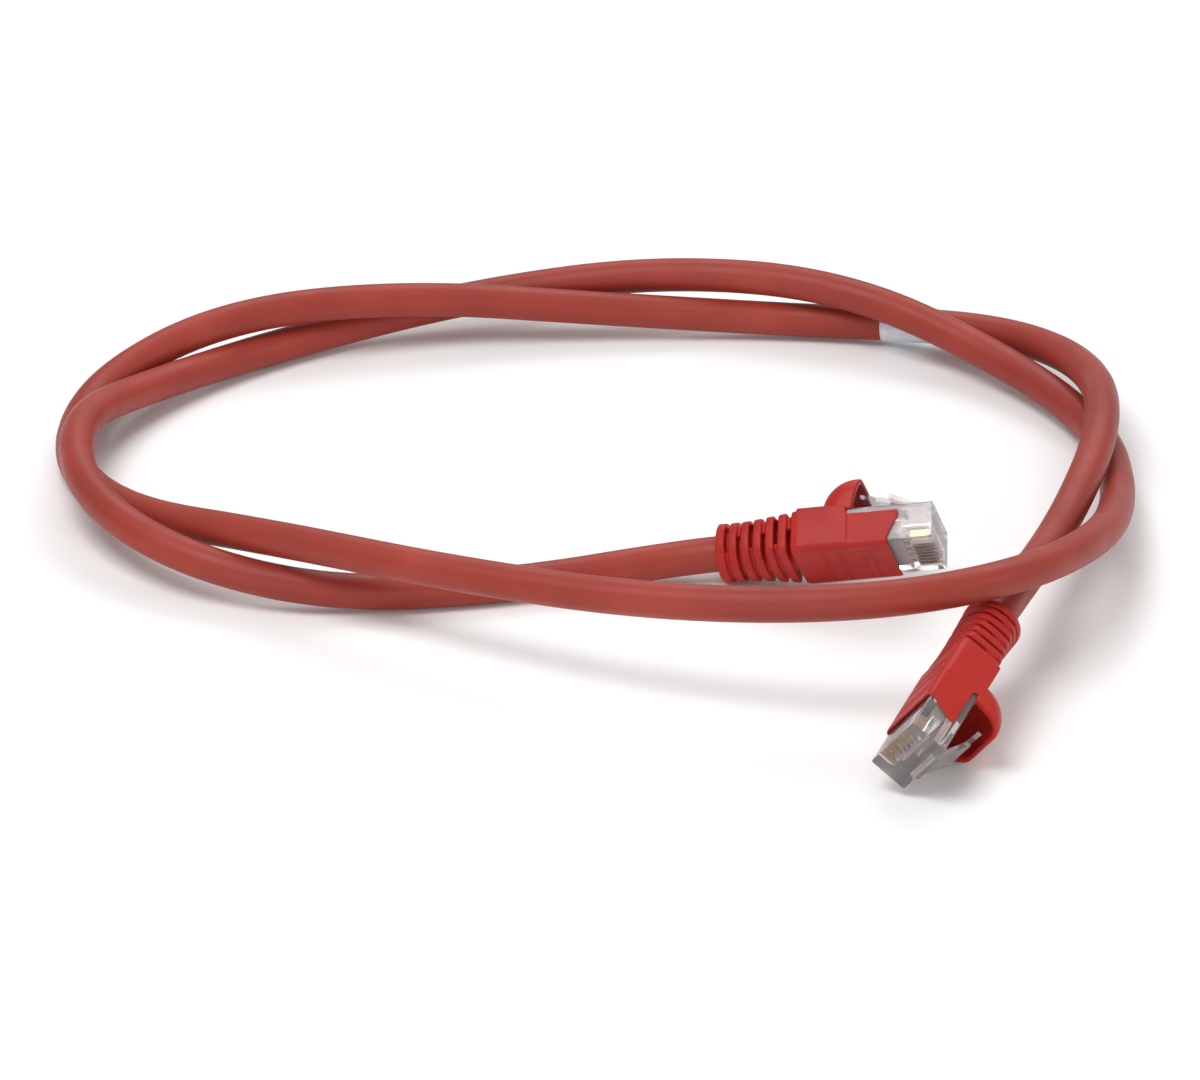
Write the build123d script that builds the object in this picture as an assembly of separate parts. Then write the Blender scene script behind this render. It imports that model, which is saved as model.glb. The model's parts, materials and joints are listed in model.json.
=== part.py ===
from build123d import *
import os
from math import atan2, cos, pi, radians, sin, tan

# Ethernet patch cable, 1 m, round jacket, lying in two loose turns on a flat surface.
# Millimetres. +X is the long way of the coil, +Z is up, Z = 0 is the surface it lies on.
# Each plug is made in its own axes: X from the rear of the boot to the nose, Y across the
# eight contacts, Z towards the latch. Its cable axis is Y = Z = 0.

# ---- cable ----
JACKET_OD = 5.8
JACKET_ID = 4.5
WIRE_OD = 0.95
WIRE_RING = 1.5           # the eight conductors lie on this radius inside the jacket
WIRE_SPREAD = 24.5        # from here to the nose the conductors lie in one flat row
JACKET_IN_BOOT = 18.5     # the jacket ends this far past the boot's rear mouth
LABEL_LENGTH = 11.2
LABEL_THICKNESS = 0.12
LABEL_PLACE = 0.8367      # its middle, as a share of the cable's length from plug a

# ---- 8P8C plug ----
SHELL_REAR = 14.5
SHELL_NOSE = 36.0
SHELL_WIDTH = 11.68
SHELL_BOTTOM = -3.5
SHELL_TOP = 3.1
CONTACTS = 8
PITCH = 1.02
WIRE_LEVEL = -0.9         # height of the conductors in the nose
BLADE = (3.0, 0.35, 1.95)
BLADE_FRONT = 35.2
GUIDE_REAR = 25.5
GUIDE_FRONT = 30.8

# ---- latch lever ----
HINGE_X = 34.7
HINGE_Z = 3.0
BARREL_R = 0.9
HINGE_GAP = 0.05
LATCH_WIDE = 6.0
LATCH_NARROW = 3.3
LATCH_THICK = 0.9

# ---- boot ----
BOOT_WIDTH = 12.8
BOOT_BOTTOM = -4.05
BOOT_TOP = 3.6
FLEX_LENGTH = 13.8
BOOT_FRONT = 28.8
RING_R = 4.8
SLOT = 0.75
SLOT_CORE_R = 3.65
RIB_DEPTH = 0.6           # the ribs stand this far out of the grooves between them
SLOTS_UPPER = (1.9, 6.1, 10.3)
SLOTS_LOWER = (4.0, 8.2, 12.5)
PAST_BOOT = 9.0           # cutting blocks reach this far from the boot's axis
CHEEK_STEP = 22.0         # from here forward the boot's sides are thinner and lower
CHEEK_TOP = 2.0
CHEEK_TIP = 30.7
HOOD_REAR = 17.4
HOOD_LIP = 24.1
HOOD_HEIGHT = 5.6
HOOD_WALL = 1.1
HOOD_ROUND = 3.4

# ---- where the cable lies ----
PLUGS = {
    "a": {
        "mouth": (21.2, -11.8, 4.85),
        "along": (0.966, -0.173, 0.192),
        "latch": (0.035, 0.823, 0.566),
    },
    "b": {
        "mouth": (62.9, -50.6, 13.05),
        "along": (-0.392, -0.909, -0.144),
        "latch": (0.759, -0.230, -0.609),
    },
}
ROUTE = [
    (-13, -19, 2.8), (-41.5, -23, 3.2), (-66.5, -17.5, 7), (-83, 0.5, 9.5), (-86, 25.5, 10.5),
    (-74, 49.5, 4.5), (-50.5, 70, 2.8), (-20, 82, 5.5), (12.5, 83.5, 9.5), (43.5, 75.5, 10.5),
    (69.5, 59, 5), (85.5, 35.5, 3.5), (87, 5, 6.5), (81.5, -26, 15), (66, -51.5, 21.5),
    (41.5, -59, 21), (10.5, -52, 17.5), (-21, -37, 14.5), (-51.5, -18.5, 11.5), (-76.5, 2, 5),
    (-88, 25.5, 2.8), (-83.5, 48.5, 5.5), (-62.5, 65, 10), (-31.5, 73.5, 9.5), (5.5, 77, 5),
    (40.5, 77, 2.8), (69, 70, 5), (84, 49, 9), (85.5, 20, 13), (76.5, -12, 10.5),
]
EXIT_RUN = 6.0            # the cable leaves each boot straight for this far
ARC_SHARE = 0.45          # each arc's tangent, as a share of the shorter run beside it


def plug_plane(end):
    """The plane that carries a plug's own axes into the cable's frame."""
    along = Vector(*PLUGS[end]["along"]).normalized()
    latch = Vector(*PLUGS[end]["latch"])
    latch = (latch - along * latch.dot(along)).normalized()
    return Plane(origin=PLUGS[end]["mouth"], x_dir=along, z_dir=latch)


def route_points():
    """Every corner of the cable's centre line, from inside boot a to inside boot b."""
    a = plug_plane("a")
    b = plug_plane("b")
    start = [a.origin + a.x_dir * JACKET_IN_BOOT, a.origin - a.x_dir * EXIT_RUN]
    finish = [b.origin - b.x_dir * EXIT_RUN, b.origin + b.x_dir * JACKET_IN_BOOT]
    return start + [Vector(*p) for p in ROUTE] + finish


def arc_radii(points):
    """The largest arc that each corner's two runs allow."""
    radii = []
    for before, here, after in zip(points, points[1:], points[2:]):
        turn = radians((here - before).get_angle(after - here))
        shorter = min((here - before).length, (after - here).length)
        radii.append(ARC_SHARE * shorter / tan(turn / 2))
    return radii


def smooth_path(points):
    """Straight runs joined by tangent arcs."""
    return FilletPolyline(*points, radius=arc_radii(points))


def tube(points, outer, inner=0.0):
    """A round tube or rod along the points."""
    path = smooth_path(points)
    plane = Plane(origin=points[0], z_dir=points[1] - points[0])
    section = plane * Circle(outer / 2)
    if inner:
        section -= plane * Circle(inner / 2)
    solid = sweep(section, path=path)
    area = pi * (outer ** 2 - inner ** 2) / 4
    return solid, path.length, area


def carried_frames(points, side):
    """A side direction carried along the route's corners without twisting."""
    frames = []
    ahead = (points[1] - points[0]).normalized()
    for i in range(len(points)):
        if 0 < i < len(points) - 1:
            new = (points[i + 1] - points[i]).normalized()
            axis = ahead.cross(new)
            if axis.length > 1e-9:
                turn = ahead.get_angle(new)
                half = side.rotate(Axis((0, 0, 0), axis), turn / 2)
                middle = ahead.rotate(Axis((0, 0, 0), axis), turn / 2)
                side = side.rotate(Axis((0, 0, 0), axis), turn)
                frames.append((middle, half))
                ahead = new
                continue
        frames.append((ahead, side))
    return frames


def slot_y(i):
    """Across-the-plug place of contact i, counted 0 to 7."""
    return (i - (CONTACTS - 1) / 2) * PITCH


def nose_points(i, plane, ring_angle):
    """Conductor i inside a plug: from its contact to the ring at the jacket's end."""
    y = slot_y(i)
    ring_y = WIRE_RING * cos(ring_angle)
    ring_z = WIRE_RING * sin(ring_angle)
    half_way = (JACKET_IN_BOOT + WIRE_SPREAD) / 2
    local = [
        (BLADE_FRONT - 0.4, y, WIRE_LEVEL),
        (WIRE_SPREAD, y, WIRE_LEVEL + 0.02),
        (half_way, 0.6 * y + 0.4 * ring_y, 0.8 * ring_z),
        (JACKET_IN_BOOT - 0.5, ring_y, ring_z),
    ]
    return [plane.from_local_coords(Vector(*p)) for p in local]


def wire_points(i):
    """The centre line of conductor i from its contact in plug a to its contact in plug b."""
    a = plug_plane("a")
    b = plug_plane("b")
    points = route_points()
    frames = carried_frames(points, a.y_dir)
    last_side = frames[-1][1]
    twist = atan2(last_side.dot(b.z_dir), last_side.dot(b.y_dir))
    total = sum((q - p).length for p, q in zip(points, points[1:]))
    start = RING_ANGLES[i]
    done = 0.0
    middle = []
    for k in range(1, len(points) - 1):
        done += (points[k] - points[k - 1]).length
        angle = start + twist * done / total
        ahead, side = frames[k]
        other = ahead.cross(side)
        middle.append(points[k] + (side * cos(angle) - other * sin(angle)) * WIRE_RING)
    return nose_points(i, a, start) + middle + nose_points(i, b, -start)[::-1]


def block(x, y, z):
    """A box between two limits on each axis."""
    size = (x[1] - x[0], y[1] - y[0], z[1] - z[0])
    centre = ((x[0] + x[1]) / 2, (y[0] + y[1]) / 2, (z[0] + z[1]) / 2)
    return Pos(*centre) * Box(*size)


def rod_along_x(x0, x1, radius, y=0.0, z=0.0):
    """A round bar along the plug's axis."""
    return Pos((x0 + x1) / 2, y, z) * Rot(0, 90, 0) * Cylinder(radius, x1 - x0)


def rod_along_y(x, z, radius, width):
    """A round bar across the plug."""
    return Pos(x, 0, z) * Rot(90, 0, 0) * Cylinder(radius, width)


def side_profile(points, width):
    """A plate with an outline in X and Z, as wide as given across the plug."""
    outline = Polyline(*[(x, 0, z) for x, z in points], close=True)
    face = make_face(outline)
    return extrude(face, amount=width / 2, both=True)


def plug_shell():
    """Clear 8P8C housing: jacket bore, wire chamber, guide pocket, wire channels, blade slots."""
    half = SHELL_WIDTH / 2
    nose = block((SHELL_REAR, SHELL_NOSE), (-half, half), (SHELL_BOTTOM, SHELL_TOP))
    nose = fillet(nose.edges().filter_by(Axis.X), 0.4)
    collar = block((SHELL_REAR, 23.0), (-half, half), (SHELL_BOTTOM - 0.05, SHELL_TOP + 0.1))
    collar = fillet(collar.edges().filter_by(Axis.X), 0.4)
    shell = nose + collar
    shell -= rod_along_x(SHELL_REAR - 1, JACKET_IN_BOOT + 0.4, JACKET_OD / 2 + 0.05)
    shell -= block((JACKET_IN_BOOT + 0.2, GUIDE_REAR), (-4.25, 4.25), (-2.1, 2.1))
    shell -= block((GUIDE_REAR - 0.1, GUIDE_FRONT + 0.1), (-4.25, 4.25), (-1.75, 0.45))
    for i in range(CONTACTS):
        y = slot_y(i)
        shell -= rod_along_x(GUIDE_FRONT, BLADE_FRONT, WIRE_OD / 2 + 0.03, y, WIRE_LEVEL)
        slot = BLADE[1] / 2 + 0.05
        shell -= block((BLADE_FRONT - BLADE[0] - 0.1, SHELL_NOSE + 1), (y - slot, y + slot),
                       (SHELL_BOTTOM - 1, WIRE_LEVEL - 0.1))
    side = LATCH_WIDE / 2 + HINGE_GAP
    shell -= rod_along_y(HINGE_X, HINGE_Z, BARREL_R + HINGE_GAP, 2 * side)
    shell -= block((30.5, HINGE_X), (-side, side), (2.7, SHELL_TOP + 1))
    return shell


def latch_lever():
    """Clear latch: a rounded root at the nose, a broad tongue, then a narrow thumb tail."""
    t = LATCH_THICK
    broad = side_profile([(34.9, 2.65), (28.2, 5.75), (28.2, 5.75 + t), (34.9, 2.65 + t)], LATCH_WIDE)
    tail = side_profile([(29.2, 5.3), (23.2, 6.75), (23.2, 6.75 + 0.8 * t), (29.2, 5.3 + t)],
                        LATCH_NARROW)
    root = rod_along_y(HINGE_X, HINGE_Z, BARREL_R, LATCH_WIDE)
    lever = root + broad + tail
    return lever


def contact_blades():
    """Eight gold-plated blades, each its own solid."""
    length, thick, height = BLADE
    blades = []
    for i in range(CONTACTS):
        y = slot_y(i)
        top = WIRE_LEVEL - WIRE_OD / 2 - 0.01
        across = (y - thick / 2, y + thick / 2)
        blade = block((BLADE_FRONT - length, BLADE_FRONT), across, (top - height, top))
        blades.append(fillet(blade.edges().filter_by(Axis.Y).sort_by(Axis.Z)[:2], 0.35))
    return blades


def wire_guide():
    """Bar with eight holes that spaces the conductors behind the blades."""
    guide = block((GUIDE_REAR, GUIDE_FRONT), (-4.2, 4.2), (-1.7, 0.4))
    for i in range(CONTACTS):
        guide -= rod_along_x(GUIDE_REAR - 1, GUIDE_FRONT + 1, WIRE_OD / 2 + 0.03, slot_y(i), WIRE_LEVEL)
    return guide


def flex_form(inset):
    """The strain relief's tapering form, round at the rear and oblong at the body."""
    height = BOOT_TOP - BOOT_BOTTOM - 0.1 - 2 * inset
    middle = (BOOT_TOP + BOOT_BOTTOM) / 2
    rear = Plane.YZ * Circle(RING_R - inset)
    oblong = RectangleRounded(BOOT_WIDTH - 0.2 - 2 * inset, height, 1.1)
    return loft([rear, Plane.YZ.offset(FLEX_LENGTH) * Pos(0, middle) * oblong])


def strain_relief():
    """Six ribbed grooves all round, each opened by a slot into both narrow sides."""
    flex = flex_form(0)
    core = flex_form(RIB_DEPTH)
    bore_wall = rod_along_x(-1, FLEX_LENGTH + 1, SLOT_CORE_R)
    across = (-PAST_BOOT, PAST_BOOT)
    for x in SLOTS_UPPER + SLOTS_LOWER:
        flex -= block((x - SLOT / 2, x + SLOT / 2), across, (-PAST_BOOT, PAST_BOOT)) - core
    for x in SLOTS_UPPER:
        flex -= block((x - SLOT / 2, x + SLOT / 2), across, (-1.9, 2.5)) - bore_wall
    for x in SLOTS_LOWER:
        flex -= block((x - SLOT / 2, x + SLOT / 2), across, (-PAST_BOOT, 0.4)) - bore_wall
    return flex


def boot_body():
    """The grip body: rounded lower corners, thumb grooves, stepped sides with a tongue each."""
    half = BOOT_WIDTH / 2
    body = block((FLEX_LENGTH, BOOT_FRONT), (-half, half), (BOOT_BOTTOM, BOOT_TOP))
    corners = body.edges().filter_by(Axis.X).sort_by(Axis.Z)
    body = fillet(corners[:2], 1.1)
    for x in (17.6, 20.4, 23.9, 25.4):
        body -= block((x, x + 0.6), (-4.9, 4.9), (BOOT_BOTTOM - 1, BOOT_BOTTOM + 0.25))
    body -= block((CHEEK_STEP, BOOT_FRONT + 1), (-PAST_BOOT, PAST_BOOT), (CHEEK_TOP, PAST_BOOT))
    for side in (-1, 1):
        outer = sorted((side * (half - 0.2), side * (half + 1)))
        body -= block((CHEEK_STEP, BOOT_FRONT + 1), tuple(outer), (-3.4, PAST_BOOT))
        cheek = side_profile([(28.0, -3.2), (28.8, -2.9), (CHEEK_TIP, 1.0), (CHEEK_TIP - 0.2, CHEEK_TOP),
                              (28.0, CHEEK_TOP)], 0.29)
        body += Pos(0, side * (half - 0.345), 0) * cheek
    return body


def boot():
    """Red moulded boot: slotted strain relief and grip body over the shell."""
    shape = strain_relief() + boot_body()
    shape -= rod_along_x(-1, FLEX_LENGTH + 1, JACKET_OD / 2 + 0.15)
    shape -= Pos(2.4, 0, 0) * Rot(0, 90, 0) * Cone(JACKET_OD / 2 + 0.45, JACKET_OD / 2 + 0.1, 5)
    shape -= block((SHELL_REAR - 0.1, 40), (-5.9, 5.9), (SHELL_BOTTOM - 0.1, SHELL_TOP + 0.15))
    return shape


def hood_profile(rear, low, shoulder, tip, front_low):
    """Side outline of the hood: an arc from its root up to the lip, and the lip's slanting front."""
    arc = Edge.make_three_point_arc((rear, 0, low), shoulder, tip)
    front = Edge.make_line(tip, front_low)
    base = Edge.make_line(front_low, (rear, 0, low))
    return make_face(Wire([arc, front, base]))


def boot_hood():
    """Domed hood over the latch's thumb tail, open towards the nose."""
    half = BOOT_WIDTH / 2
    top = BOOT_TOP + HOOD_HEIGHT
    outer = hood_profile(HOOD_REAR, BOOT_TOP, (HOOD_REAR + 1.7, 0, top - 1.7), (HOOD_LIP, 0, top),
                         (HOOD_LIP - 1.2, 0, BOOT_TOP))
    dome = extrude(outer, amount=half, both=True)
    rims = [e for e in dome.edges() if e.geom_type == GeomType.CIRCLE]
    dome = fillet(rims, HOOD_ROUND)
    inner = hood_profile(HOOD_REAR + HOOD_WALL + 0.3, BOOT_TOP - 1, (HOOD_REAR + 2.9, 0, top - 2.6),
                         (HOOD_LIP + 3, 0, top - HOOD_WALL), (HOOD_LIP + 3, 0, BOOT_TOP - 1))
    hollow = extrude(inner, amount=half - HOOD_WALL - 0.2, both=True)
    rims = [e for e in hollow.edges() if e.geom_type == GeomType.CIRCLE]
    hollow = fillet(rims, HOOD_ROUND - HOOD_WALL)
    return dome - hollow


# In the order of the contacts, from the -Y side of the plug.
WIRE_NAMES = (
    "wire_white_green", "wire_green", "wire_white_orange", "wire_blue",
    "wire_white_blue", "wire_orange", "wire_white_brown", "wire_brown",
)
# The ring places, in order across the plug, so that no two conductors cross in the nose.
RING_ANGLES = [radians(v) for v in (190, 145, 235, 100, 280, 55, 325, 10)]


def write(name, shape):
    """One STEP file per node."""
    export_step(shape, f"parts/{name}.step")


def write_plug(end):
    """The six pieces of one plug, where the plug lies."""
    place = plug_plane(end).location
    write(f"plug_shell_{end}", place * plug_shell())
    write(f"latch_lever_{end}", place * latch_lever())
    write(f"contacts_{end}", Compound(children=[place * blade for blade in contact_blades()]))
    write(f"wire_guide_{end}", place * wire_guide())
    write(f"boot_{end}", place * boot())
    write(f"boot_hood_{end}", place * boot_hood())


def write_cable():
    """The jacket, its label and the eight conductors."""
    points = route_points()
    print("arc radii", [round(r) for r in arc_radii(points)])
    jacket, length, area = tube(points, JACKET_OD, JACKET_ID)
    print("centre line", round(length, 1), "volume", round(jacket.volume), "expected", round(area * length))
    write("cable_jacket", jacket)
    path = smooth_path(points)
    half = LABEL_LENGTH / 2 / length
    span = path.trim(LABEL_PLACE - half, LABEL_PLACE + half)
    start = Plane(origin=span @ 0, z_dir=span % 0)
    ring = start * (Circle(JACKET_OD / 2 + 0.02 + LABEL_THICKNESS) - Circle(JACKET_OD / 2 + 0.02))
    write("cable_label", sweep(ring, path=span))
    for i, name in enumerate(WIRE_NAMES):
        wire, length, area = tube(wire_points(i), WIRE_OD)
        print(name, round(length, 1), "volume", round(wire.volume), "expected", round(area * length))
        write(name, wire)


os.makedirs("parts", exist_ok=True)
write_plug("a")
write_plug("b")
write_cable()
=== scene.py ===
import json
import math

import bpy
from mathutils import Matrix, Vector

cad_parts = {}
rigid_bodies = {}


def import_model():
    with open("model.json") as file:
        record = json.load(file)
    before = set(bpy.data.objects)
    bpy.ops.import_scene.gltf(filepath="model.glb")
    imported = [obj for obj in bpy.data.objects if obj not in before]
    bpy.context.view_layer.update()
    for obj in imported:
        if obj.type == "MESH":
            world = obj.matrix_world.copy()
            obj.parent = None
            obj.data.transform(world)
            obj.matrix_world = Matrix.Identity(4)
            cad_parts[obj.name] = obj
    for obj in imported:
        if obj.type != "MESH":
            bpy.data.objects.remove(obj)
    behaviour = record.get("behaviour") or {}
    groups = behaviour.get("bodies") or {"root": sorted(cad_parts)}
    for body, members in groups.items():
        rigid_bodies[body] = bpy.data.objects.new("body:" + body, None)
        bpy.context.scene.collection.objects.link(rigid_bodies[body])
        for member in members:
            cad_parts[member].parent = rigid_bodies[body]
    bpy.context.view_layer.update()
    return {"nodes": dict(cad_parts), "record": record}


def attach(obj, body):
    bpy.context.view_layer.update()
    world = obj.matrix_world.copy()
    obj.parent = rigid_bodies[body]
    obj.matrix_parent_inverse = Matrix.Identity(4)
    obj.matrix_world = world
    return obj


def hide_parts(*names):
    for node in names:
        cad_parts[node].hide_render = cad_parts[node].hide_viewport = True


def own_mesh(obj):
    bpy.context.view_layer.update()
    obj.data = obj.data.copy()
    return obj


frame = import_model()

# An ethernet patch cable, 1 m, lying in two loose turns on a pale floor. Metres throughout.

# ---- the cable ----
JACKET_DIAMETER = 0.0058
JACKET_IN_BOOT = 0.0185      # the jacket ends this far past the boot's rear mouth
EXIT_RUN = 0.006             # it leaves each boot straight for this far
MOUTH_RUN = 0.006            # and is still straight this far inside it
LABEL_FROM = 0.8296          # the wrap label's ends, as shares of the cable's length
LABEL_TO = 0.8411
LABEL_THICKNESS = 0.00012
LABEL_GAP = 0.00002          # between the jacket and the paper
LABEL_EDGE_DEPTH = 0.0001    # the wrap's ends turn in this far under the jacket's skin
LABEL_SIDES = 48
LABEL_LAP = math.radians(35)  # where the paper lies double
CORD_STEPS = 24              # steps of the cord's line between two points
CORD_ROUNDNESS = 10
ROUTE = [
    (-0.0130, -0.0190, 0.0028), (-0.0415, -0.0230, 0.0032), (-0.0665, -0.0175, 0.0070),
    (-0.0830, 0.0005, 0.0095), (-0.0860, 0.0255, 0.0105), (-0.0740, 0.0495, 0.0045),
    (-0.0505, 0.0700, 0.0028), (-0.0200, 0.0820, 0.0055), (0.0125, 0.0835, 0.0095),
    (0.0435, 0.0755, 0.0105), (0.0695, 0.0590, 0.0050), (0.0855, 0.0355, 0.0035),
    (0.0870, 0.0050, 0.0065), (0.0815, -0.0260, 0.0150), (0.0660, -0.0515, 0.0215),
    (0.0415, -0.0590, 0.0210), (0.0105, -0.0520, 0.0175), (-0.0210, -0.0370, 0.0145),
    (-0.0515, -0.0185, 0.0115), (-0.0765, 0.0020, 0.0050), (-0.0880, 0.0255, 0.0028),
    (-0.0835, 0.0485, 0.0055), (-0.0625, 0.0650, 0.0100), (-0.0315, 0.0735, 0.0095),
    (0.0055, 0.0770, 0.0050), (0.0405, 0.0770, 0.0028), (0.0690, 0.0700, 0.0050),
    (0.0840, 0.0490, 0.0090), (0.0855, 0.0200, 0.0130), (0.0765, -0.0120, 0.0105),
]

# ---- the plugs, in their own axes: X to the nose, Y across the contacts, Z to the latch ----
SHELL_NOSE = 0.036
NOSE_MOUNT_Z = 0.0009
BOOT_TOP = 0.0036
BOOT_VOXEL = 0.00021
BOOT_SMOOTHING = 5
HOOD_ROOT_BAND = 0.0003      # the hood's skin below this height over the boot's back is its root
HOOD_ROOT_DEPTH = 0.0008
HOOD_NARROWED = 0.995
BEVEL_SEGMENTS = 2
BEVEL_ANGLE = math.radians(40)

# ---- camera ----
CAMERA_TARGET = Vector((0.0015, 0.0020, 0.0))
CAMERA_DISTANCE = 1.2
CAMERA_ELEVATION = math.radians(28)
CAMERA_LENS = 220.0
CAMERA_SENSOR = 36.0

# ---- surroundings ----
WORLD_STRENGTH = 0.50
FLOOR_HALF_SIDE = 6.0


def plug_matrix(end):
    """A plug's own axes in the cable's frame, read from its nose mount and its latch's hinge."""
    mount = next(m for m in frame["record"]["mounts"] if m["name"] == f"plug_{end}_nose")
    joints = frame["record"]["behaviour"]["joints"]
    joint = next(j for j in joints if j["name"] == f"latch_{end}_press")
    x = Vector(mount["axis"]).normalized()
    y = -Vector(joint["axis"]).normalized()
    z = x.cross(y)
    origin = Vector(mount["pos_m"]) - x * SHELL_NOSE - z * NOSE_MOUNT_Z
    matrix = Matrix((x, y, z)).transposed().to_4x4()
    matrix.translation = origin
    return matrix


PLUGS = {end: plug_matrix(end) for end in "ab"}


# ---------------------------------------------------------------- camera, lights and floor

def make_camera():
    camera = bpy.data.objects.new("camera", bpy.data.cameras.new("camera"))
    bpy.context.collection.objects.link(camera)
    camera.data.lens = CAMERA_LENS
    camera.data.sensor_width = CAMERA_SENSOR
    camera.data.clip_start = 0.01
    back = Vector((0, -math.cos(CAMERA_ELEVATION), math.sin(CAMERA_ELEVATION)))
    camera.location = CAMERA_TARGET + back * CAMERA_DISTANCE
    camera.rotation_euler = (math.pi / 2 - CAMERA_ELEVATION, 0, 0)
    bpy.context.scene.camera = camera


def area_light(name, place, size, power, colour=(1, 1, 1)):
    light = bpy.data.lights.new(name, "AREA")
    light.shape = "RECTANGLE"
    light.size, light.size_y = size
    light.energy = power
    light.color = colour
    lamp = bpy.data.objects.new(name, light)
    bpy.context.collection.objects.link(lamp)
    lamp.location = place
    lamp.rotation_euler = (-Vector(place)).to_track_quat("-Z", "Y").to_euler()


def make_world():
    """Soft studio surroundings: white overhead, slightly grey at the horizon."""
    world = bpy.data.worlds.new("studio")
    world.use_nodes = True
    tree = world.node_tree
    place = tree.nodes.new("ShaderNodeTexCoord")
    split = tree.nodes.new("ShaderNodeSeparateXYZ")
    ramp = tree.nodes.new("ShaderNodeValToRGB")
    ramp.color_ramp.elements[0].position = 0.0
    ramp.color_ramp.elements[0].color = (0.88, 0.87, 0.87, 1)
    ramp.color_ramp.elements[1].position = 0.75
    ramp.color_ramp.elements[1].color = (1, 1, 1, 1)
    tree.links.new(place.outputs["Generated"], split.inputs["Vector"])
    tree.links.new(split.outputs["Z"], ramp.inputs["Fac"])
    tree.links.new(ramp.outputs["Color"], tree.nodes["Background"].inputs["Color"])
    tree.nodes["Background"].inputs["Strength"].default_value = WORLD_STRENGTH
    bpy.context.scene.world = world


def make_lights():
    area_light("key_light", (-0.30, -0.30, 1.0), (0.6, 0.5), 6.5)
    area_light("back_light", (0.20, 0.75, 0.8), (1.0, 0.6), 5.0)
    area_light("side_light", (0.9, -0.3, 0.45), (0.4, 0.4), 1.2)
    area_light("front_fill", (-0.15, -1.0, 0.30), (1.2, 0.5), 3.0, (1.0, 0.97, 0.95))
    make_world()
    bpy.context.scene.view_settings.view_transform = "Standard"


# ---------------------------------------------------------------- materials

class Shader:
    """A Principled material and short ways to add nodes to it."""

    def __init__(self, name):
        self.material = bpy.data.materials.new(name)
        self.material.use_nodes = True
        self.tree = self.material.node_tree
        self.shader = self.tree.nodes["Principled BSDF"]
        self.place = self.node("ShaderNodeTexCoord").outputs["Object"]

    def node(self, kind, **values):
        node = self.tree.nodes.new(kind)
        for key, value in values.items():
            setattr(node, key, value)
        return node

    def link(self, source, target):
        self.tree.links.new(source, target)

    def set(self, **values):
        for key, value in values.items():
            self.shader.inputs[key.replace("_", " ")].default_value = value

    def noise(self, scale, detail=3.0, stretch=(1, 1, 1)):
        mapping = self.node("ShaderNodeMapping")
        mapping.inputs["Scale"].default_value = stretch
        self.link(self.place, mapping.inputs["Vector"])
        noise = self.node("ShaderNodeTexNoise")
        noise.inputs["Scale"].default_value = scale
        noise.inputs["Detail"].default_value = detail
        self.link(mapping.outputs["Vector"], noise.inputs["Vector"])
        return noise.outputs["Fac"]

    def ramp(self, factor, stops):
        ramp = self.node("ShaderNodeValToRGB")
        elements = ramp.color_ramp.elements
        while len(elements) < len(stops):
            elements.new(0.5)
        for element, (position, colour) in zip(elements, stops):
            element.position = position
            element.color = (*colour, 1)
        self.link(factor, ramp.inputs["Fac"])
        return ramp.outputs["Color"]

    def spread(self, factor, low, high):
        """Maps a noise's usual span, 0.3 to 0.7, onto low to high."""
        spread = self.node("ShaderNodeMapRange")
        spread.inputs["From Min"].default_value = 0.3
        spread.inputs["From Max"].default_value = 0.7
        spread.inputs["To Min"].default_value = low
        spread.inputs["To Max"].default_value = high
        self.link(factor, spread.inputs["Value"])
        return spread.outputs["Result"]

    def bump(self, height, strength, distance):
        bump = self.node("ShaderNodeBump")
        bump.inputs["Strength"].default_value = strength
        bump.inputs["Distance"].default_value = distance
        self.link(height, bump.inputs["Height"])
        self.link(bump.outputs["Normal"], self.shader.inputs["Normal"])


def jacket_material():
    """Matte PVC jacket: brick red with soft mottling, a satin skin and fine extrusion grain."""
    m = Shader("jacket_pvc")
    mottle = m.noise(55.0, detail=4.0)
    m.link(m.ramp(mottle, [(0.3, (0.250, 0.030, 0.020)), (0.55, (0.295, 0.036, 0.023)),
                           (0.75, (0.345, 0.047, 0.031))]), m.shader.inputs["Base Color"])
    m.link(m.spread(m.noise(160.0), 0.40, 0.52), m.shader.inputs["Roughness"])
    m.bump(m.noise(1500.0, detail=2.0), 0.10, 0.00008)
    m.set(Specular_IOR_Level=0.28)
    return m.material


def boot_material():
    """Moulded boot: saturated red soft PVC, glossier than the jacket, finely textured."""
    m = Shader("boot_pvc")
    mottle = m.noise(90.0, detail=3.0)
    m.link(m.ramp(mottle, [(0.3, (0.34, 0.013, 0.010)), (0.7, (0.42, 0.020, 0.014))]),
           m.shader.inputs["Base Color"])
    m.link(m.spread(m.noise(220.0), 0.36, 0.48), m.shader.inputs["Roughness"])
    m.bump(m.noise(1800.0, detail=2.0), 0.08, 0.00006)
    m.set(Subsurface_Weight=0.08, Subsurface_Radius=(0.004, 0.0008, 0.0006),
          Subsurface_Scale=0.3, Specular_IOR_Level=0.22)
    return m.material


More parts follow.
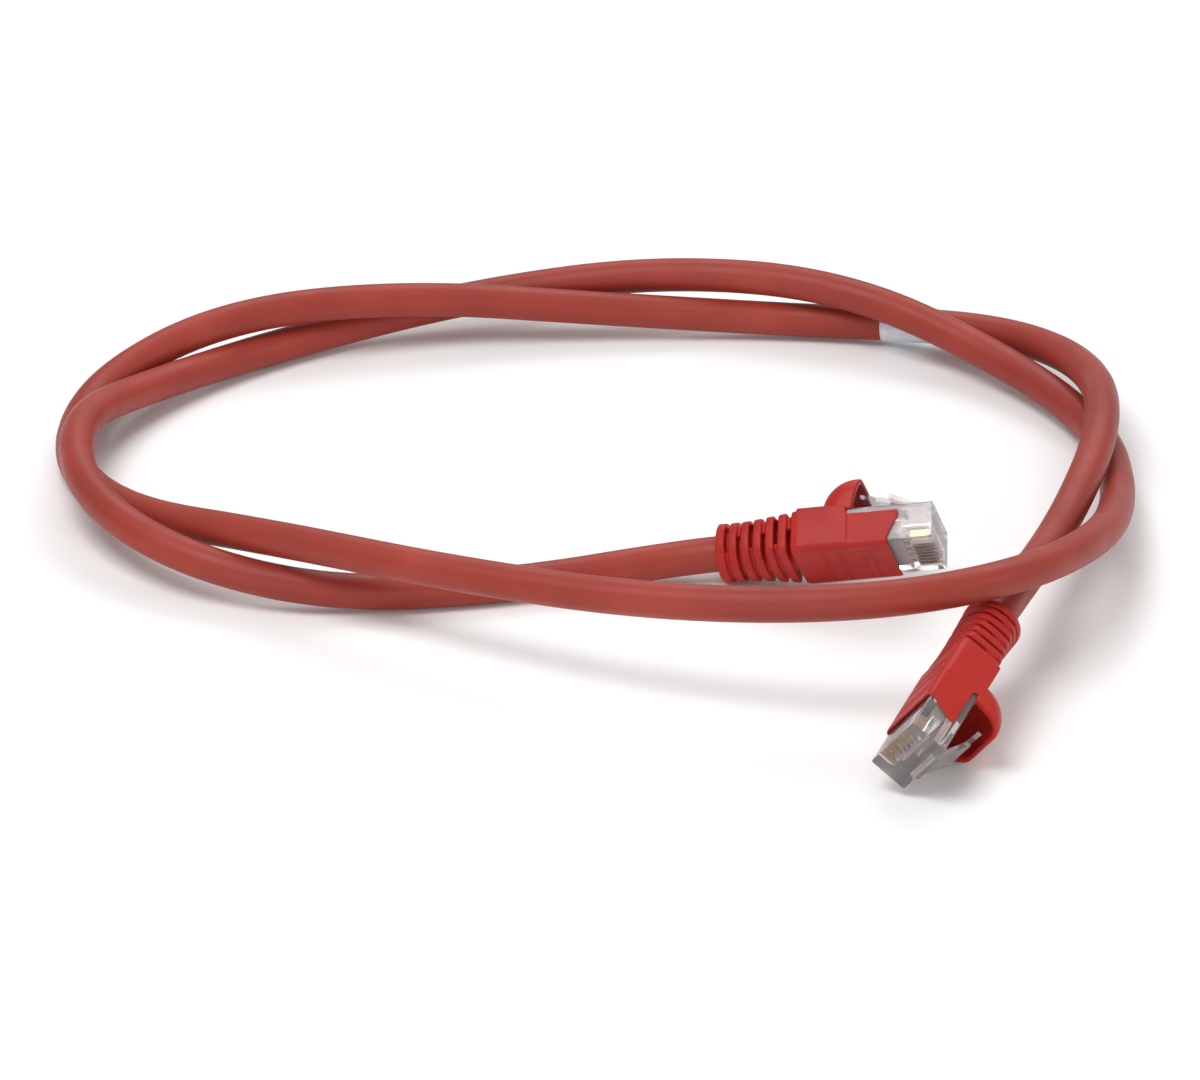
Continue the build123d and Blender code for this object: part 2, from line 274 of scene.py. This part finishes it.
def clear_material(name, tint):
    """Clear polycarbonate with faint moulding flow lines, slightly uneven gloss and painted shade
    darkening its colour towards the grazing edges.
    """
    m = Shader(name)
    flow = m.noise(140.0, detail=2.0, stretch=(1, 1, 3))
    lighter = tuple(min(1.0, 1.08 * c) for c in tint)
    # Painted shade: the base colour falls to half the tint at grazing angles, standing in for the
    # dark edges that refraction gives clear plastic.
    edge = m.node("ShaderNodeLayerWeight")
    edge.inputs["Blend"].default_value = 0.35
    painted_edge_shade = m.node("ShaderNodeMixRGB")
    painted_edge_shade.inputs["Color2"].default_value = (*(0.5 * c for c in tint), 1)
    m.link(edge.outputs["Facing"], painted_edge_shade.inputs["Fac"])
    m.link(m.ramp(flow, [(0.3, tint), (0.7, lighter)]), painted_edge_shade.inputs["Color1"])
    m.link(painted_edge_shade.outputs["Color"], m.shader.inputs["Base Color"])
    m.link(m.spread(m.noise(300.0), 0.04, 0.10), m.shader.inputs["Roughness"])
    m.bump(m.noise(260.0, detail=1.0, stretch=(1, 2, 1)), 0.10, 0.0001)
    m.set(Transmission_Weight=0.86, IOR=1.46)
    return m.material


def gold_material():
    """Gold-plated phosphor bronze with a rolled grain."""
    m = Shader("contact_gold")
    grain = m.noise(900.0, detail=2.0, stretch=(1, 6, 1))
    m.link(m.ramp(grain, [(0.3, (0.72, 0.40, 0.09)), (0.7, (0.95, 0.60, 0.17))]),
           m.shader.inputs["Base Color"])
    m.link(m.spread(grain, 0.18, 0.32), m.shader.inputs["Roughness"])
    m.bump(grain, 0.1, 0.00003)
    m.set(Metallic=1.0)
    return m.material


def wire_material(name, body, band):
    """Conductor insulation; a striped one has a coloured dash round its body."""
    m = Shader(name)
    wave = m.node("ShaderNodeTexWave", wave_type="BANDS", bands_direction="DIAGONAL")
    wave.inputs["Scale"].default_value = 90.0
    wave.inputs["Distortion"].default_value = 1.5
    m.link(m.place, wave.inputs["Vector"])
    m.link(m.ramp(wave.outputs["Fac"], [(0.60, body), (0.66, band)]),
           m.shader.inputs["Base Color"])
    m.link(m.spread(m.noise(400.0), 0.25, 0.38), m.shader.inputs["Roughness"])
    m.bump(m.noise(1600.0, detail=1.0), 0.06, 0.00004)
    return m.material


def label_material():
    """Blank white paper wrap with a faint fibre and a cool cast."""
    m = Shader("label_paper")
    fibre = m.noise(700.0, detail=4.0, stretch=(1, 3, 1))
    m.link(m.ramp(fibre, [(0.3, (0.56, 0.59, 0.66)), (0.7, (0.68, 0.70, 0.76))]),
           m.shader.inputs["Base Color"])
    m.link(m.spread(fibre, 0.45, 0.60), m.shader.inputs["Roughness"])
    m.bump(fibre, 0.15, 0.00005)
    return m.material


def guide_material():
    """The wire guide: milky natural plastic."""
    m = Shader("guide_plastic")
    cloud = m.noise(200.0)
    m.link(m.ramp(cloud, [(0.3, (0.72, 0.68, 0.62)), (0.7, (0.85, 0.83, 0.78))]),
           m.shader.inputs["Base Color"])
    m.link(m.spread(cloud, 0.3, 0.42), m.shader.inputs["Roughness"])
    m.set(Transmission_Weight=0.3)
    return m.material


def floor_material():
    m = Shader("floor_paint")
    m.link(m.ramp(m.noise(6.0), [(0.3, (0.86, 0.86, 0.86)), (0.7, (0.89, 0.89, 0.89))]),
           m.shader.inputs["Base Color"])
    m.set(Roughness=0.9, Specular_IOR_Level=0.1)
    return m.material


def make_floor():
    mesh = bpy.data.meshes.new("floor")
    side = FLOOR_HALF_SIDE
    corners = [(-side, -side, 0), (side, -side, 0), (side, side, 0), (-side, side, 0)]
    mesh.from_pydata(corners, [], [(0, 1, 2, 3)])
    floor = bpy.data.objects.new("floor", mesh)
    bpy.context.collection.objects.link(floor)
    mesh.materials.append(floor_material())


# ---------------------------------------------------------------- pieces

def paint(obj, material):
    """Puts one material on every slot of a piece."""
    if not obj.data.materials:
        obj.data.materials.append(material)
    for i in range(len(obj.data.materials)):
        obj.material_slots[i].link = "OBJECT"
        obj.material_slots[i].material = material


def smooth(mesh):
    for polygon in mesh.polygons:
        polygon.use_smooth = True


def new_piece(name, mesh, material):
    """A mesh piece with its material, riding on the root body."""
    smooth(mesh)
    piece = bpy.data.objects.new(name, mesh)
    bpy.context.collection.objects.link(piece)
    mesh.materials.append(material)
    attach(piece, "root")
    return piece


def baked(obj):
    """The mesh that an object's modifiers give."""
    depsgraph = bpy.context.evaluated_depsgraph_get()
    return bpy.data.meshes.new_from_object(obj.evaluated_get(depsgraph))


def soft_moulding(node, end):
    """A CAD solid's mesh with every edge rounded as soft moulding, made along the plug's axes."""
    matrix = PLUGS[end]
    mesh = frame["nodes"][node].data.copy()
    mesh.materials.clear()
    mesh.transform(matrix.inverted())
    work = bpy.data.objects.new("work", mesh)
    bpy.context.collection.objects.link(work)
    remesh = work.modifiers.new("remesh", "REMESH")
    remesh.mode = "VOXEL"
    remesh.voxel_size = BOOT_VOXEL
    relax = work.modifiers.new("relax", "SMOOTH")
    relax.factor = 0.5
    relax.iterations = BOOT_SMOOTHING
    result = baked(work)
    bpy.data.objects.remove(work)
    result.transform(matrix)
    return result


def sink_root(mesh, end):
    """Carries the hood's root down into the boot, so the two read as one moulding."""
    matrix = PLUGS[end]
    inverse = matrix.inverted()
    for vertex in mesh.vertices:
        local = inverse @ vertex.co
        local.y *= HOOD_NARROWED
        if local.z < BOOT_TOP + HOOD_ROOT_BAND:
            local.z -= HOOD_ROOT_DEPTH
        vertex.co = matrix @ local


def make_boots(material):
    for end in "ab":
        boot = new_piece(f"boot_skin_{end}", soft_moulding(f"boot_{end}", end), material)
        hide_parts(f"boot_{end}")
        hood_mesh = soft_moulding(f"boot_hood_{end}", end)
        sink_root(hood_mesh, end)
        hood = new_piece(f"hood_skin_{end}", hood_mesh, material)
        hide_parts(f"boot_hood_{end}")
        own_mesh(hood)


def bevel(obj, width):
    """Rounds a hard plastic or metal piece's edges."""
    rounding = obj.modifiers.new("edge", "BEVEL")
    rounding.width = width
    rounding.segments = BEVEL_SEGMENTS
    rounding.limit_method = "ANGLE"
    rounding.angle_limit = BEVEL_ANGLE


def dress_plugs():
    """Materials and edges on the plug pieces that keep their CAD shape."""
    shell = clear_material("clear_shell", (0.83, 0.77, 0.77))
    latch = clear_material("clear_latch", (0.78, 0.74, 0.74))
    gold = gold_material()
    guide = guide_material()
    for end in "ab":
        for node, material, width in (
            (f"plug_shell_{end}", shell, 0.00012),
            (f"latch_lever_{end}", latch, 0.00015),
            (f"contacts_{end}", gold, 0.00005),
            (f"wire_guide_{end}", guide, 0.0001),
        ):
            obj = frame["nodes"][node]
            paint(obj, material)
            bevel(obj, width)


WIRE_COLOURS = {
    "orange": (0.80, 0.22, 0.03),
    "green": (0.03, 0.30, 0.06),
    "blue": (0.03, 0.10, 0.42),
    "brown": (0.16, 0.06, 0.03),
}


def dress_wires():
    """The eight conductors: four whole colours and four white ones with a band of each."""
    for name, colour in WIRE_COLOURS.items():
        darker = tuple(0.8 * c for c in colour)
        whole = wire_material(f"insulation_{name}", colour, darker)
        striped = wire_material(f"insulation_white_{name}", (0.82, 0.80, 0.76), colour)
        paint(frame["nodes"][f"wire_{name}"], whole)
        paint(frame["nodes"][f"wire_white_{name}"], striped)


def cord_points():
    """The route's points, from inside boot a to inside boot b."""
    a = PLUGS["a"]
    b = PLUGS["b"]
    along = (JACKET_IN_BOOT, MOUTH_RUN, -EXIT_RUN)
    start = [a @ Vector((x, 0, 0)) for x in along]
    finish = [b @ Vector((x, 0, 0)) for x in reversed(along)]
    return start + [Vector(p) for p in ROUTE] + finish


def nurbs_curve(name, points):
    curve = bpy.data.curves.new(name, "CURVE")
    curve.dimensions = "3D"
    spline = curve.splines.new("NURBS")
    spline.points.add(len(points) - 1)
    for control, point in zip(spline.points, points):
        control.co = (*point, 1)
    spline.order_u = 3
    spline.use_endpoint_u = True
    spline.resolution_u = CORD_STEPS
    curve.resolution_u = CORD_STEPS
    return curve


def cord_line():
    """The points of the cord's own smooth line."""
    curve = nurbs_curve("line", cord_points())
    obj = bpy.data.objects.new("line", curve)
    bpy.context.collection.objects.link(obj)
    mesh = baked(obj)
    line = [v.co.copy() for v in mesh.vertices]
    bpy.data.objects.remove(obj)
    return line


def make_cord(material):
    curve = nurbs_curve("jacket", cord_points())
    curve.bevel_depth = JACKET_DIAMETER / 2
    curve.bevel_resolution = CORD_ROUNDNESS
    curve.use_fill_caps = True
    jacket = bpy.data.objects.new("jacket", curve)
    bpy.context.collection.objects.link(jacket)
    curve.materials.append(material)
    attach(jacket, "root")
    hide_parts("cable_jacket")
    return jacket


def stretch_of(line, start, end):
    """The part of a line between two shares of its length."""
    runs = [(q - p).length for p, q in zip(line, line[1:])]
    total = sum(runs)
    kept = []
    done = 0.0
    for point, run in zip(line, runs):
        if start * total <= done <= end * total:
            kept.append(point)
        done += run
    return kept


def label_ring(point, ahead):
    """The wrap's outline round one point of the line, raised where the paper lies double."""
    side = ahead.cross(Vector((0, 0, 1))).normalized()
    up = side.cross(ahead)
    ring = []
    for k in range(LABEL_SIDES):
        angle = 2 * math.pi * k / LABEL_SIDES
        doubled = LABEL_THICKNESS if angle < LABEL_LAP else 0.0
        radius = JACKET_DIAMETER / 2 + LABEL_GAP + LABEL_THICKNESS + doubled
        ring.append(point + (side * math.cos(angle) + up * math.sin(angle)) * radius)
    return ring


def turned_in(centre, ring):
    """A ring's points brought just under the jacket's skin, to close the wrap's end."""
    radius = JACKET_DIAMETER / 2 - LABEL_EDGE_DEPTH
    return [centre + (v - centre).normalized() * radius for v in ring]


def make_label(line):
    """A blank paper wrap round the jacket, its two layers meeting in a low seam."""
    path = stretch_of(line, LABEL_FROM, LABEL_TO)
    last = len(path) - 1
    rings = []
    for i, point in enumerate(path):
        ahead = (path[min(i + 1, last)] - path[max(i - 1, 0)]).normalized()
        rings.append(label_ring(point, ahead))
    rings = [turned_in(path[0], rings[0])] + rings + [turned_in(path[last], rings[-1])]
    faces = []
    for i in range(len(rings) - 1):
        for k in range(LABEL_SIDES):
            a = i * LABEL_SIDES + k
            b = i * LABEL_SIDES + (k + 1) % LABEL_SIDES
            faces.append((a, b, b + LABEL_SIDES, a + LABEL_SIDES))
    mesh = bpy.data.meshes.new("label_wrap")
    mesh.from_pydata([tuple(v) for ring in rings for v in ring], [], faces)
    label = new_piece("label_wrap", mesh, label_material())
    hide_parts("cable_label")
    return label


make_camera()
make_lights()
make_floor()
jacket = make_cord(jacket_material())
label = make_label(cord_line())
make_boots(boot_material())
dress_plugs()
dress_wires()

far_plug = [bpy.data.objects[n] for n in ("boot_skin_b", "hood_skin_b")]
far_plug += [frame["nodes"][n]
             for n in ("plug_shell_b", "latch_lever_b", "contacts_b", "wire_guide_b")]
